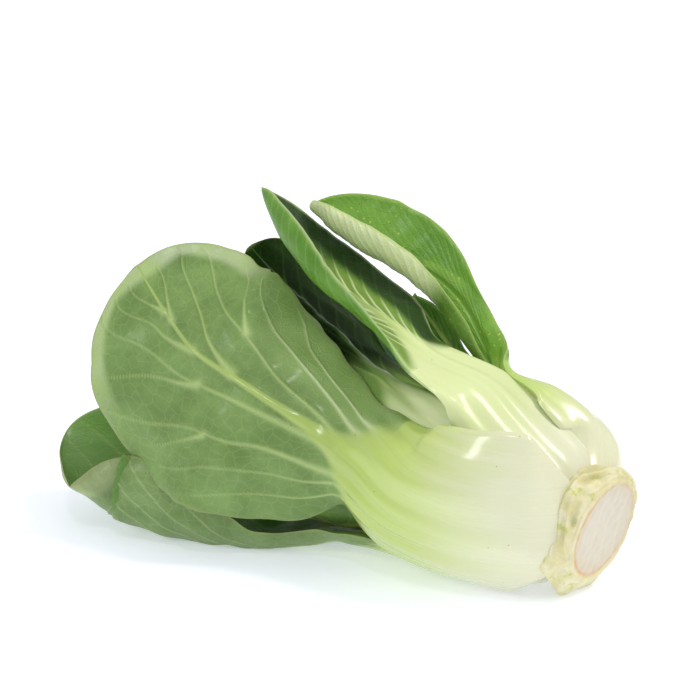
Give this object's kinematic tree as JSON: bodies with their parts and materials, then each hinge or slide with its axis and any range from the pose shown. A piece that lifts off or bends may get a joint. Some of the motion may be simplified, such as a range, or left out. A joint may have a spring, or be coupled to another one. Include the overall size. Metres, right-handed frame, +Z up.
{
  "type": "bok choy",
  "caption": "Head of green-stemmed bok choy lying on its side, thick pale petioles opening into broad curled green leaf blades, cut stem base at one end.",
  "frame": {"origin": "centre of the head's box in plan, on the surface that the head lies on", "axes": "+Z up, +X towards the cut stem base along the head's length, the leaf tips at -X, -Y towards the front leaf's outside"},
  "size_m": [0.1964, 0.087, 0.1083],
  "materials": {
    "leaf_green": "waxy satin leaf, greyish green outside",
    "petiole_white": "smooth moist white flesh"
  },
  "bodies": {
    "root": {"stem_base": "petiole_white", "front_leaf": "leaf_green", "upper_back_leaf": "leaf_green", "lower_leaf": "leaf_green", "lower_back_leaf": "leaf_green", "upper_front_leaf": "leaf_green", "inner_front_leaf": "leaf_green", "inner_lower_leaf": "leaf_green", "inner_back_leaf": "leaf_green", "heart_leaf_1": "leaf_green", "heart_leaf_2": "leaf_green", "heart_leaf_3": "leaf_green"}
  },
  "joints": []
}
